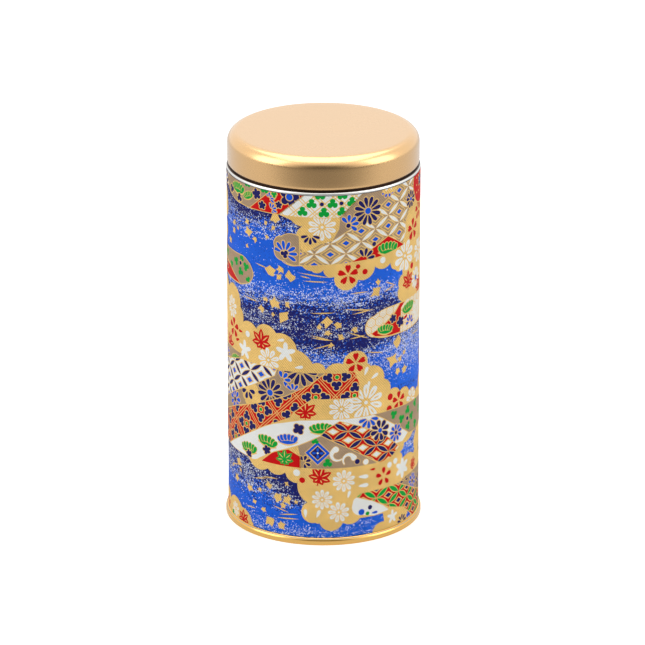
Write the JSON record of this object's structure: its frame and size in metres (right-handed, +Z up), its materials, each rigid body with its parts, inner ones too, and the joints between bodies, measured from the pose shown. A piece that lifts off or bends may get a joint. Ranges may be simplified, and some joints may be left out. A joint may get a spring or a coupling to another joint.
{
  "type": "tea caddy",
  "caption": "Tall round tinplate tea caddy in a patterned paper wrap, with a gold slip-on outer lid and a plug-in inner lid with a knob.",
  "frame": {"origin": "middle of the ring that the can stands on, at table height", "axes": "+Z up along the can's axis, from the base to the lid; +Y towards the paper's overlap at the back"},
  "size_m": [0.0771, 0.0772, 0.1579],
  "materials": {
    "tinplate": "bright drawn tinplate, satin",
    "printed_paper": "matte printed mulberry paper, blue ground with gold, red, white, green, navy and taupe",
    "gold_base": "deep gold lacquer over tinplate, gloss",
    "gold_lid": "pale gold lacquer over tinplate, satin",
    "gold_knob": "pale gold, satin",
    "sealing_compound": "matte"
  },
  "bodies": {
    "can": {"body_tube": "tinplate", "paper_wrap": "printed_paper", "base_end": "gold_base", "seam_compound": "sealing_compound", "neck_ring": "tinplate"},
    "outer_lid": {"outer_lid": "gold_lid"},
    "inner_lid": {"inner_lid_pan": "tinplate", "inner_lid_knob": "gold_knob", "knob_rivet": "tinplate", "rivet_washer": "tinplate"}
  },
  "joints": [
    {"name": "lid_lift", "type": "slide", "parent": "can", "child": "outer_lid", "axis": [0, 0, 1], "range_m": [0, 0.07]},
    {"name": "inner_lid_lift", "type": "slide", "parent": "can", "child": "inner_lid", "axis": [0, 0, 1], "range_m": [0, 0.032]}
  ],
  "couplings": [
    {"joint": "inner_lid_lift", "follows": "lid_lift", "ratio": 0.45}
  ]
}
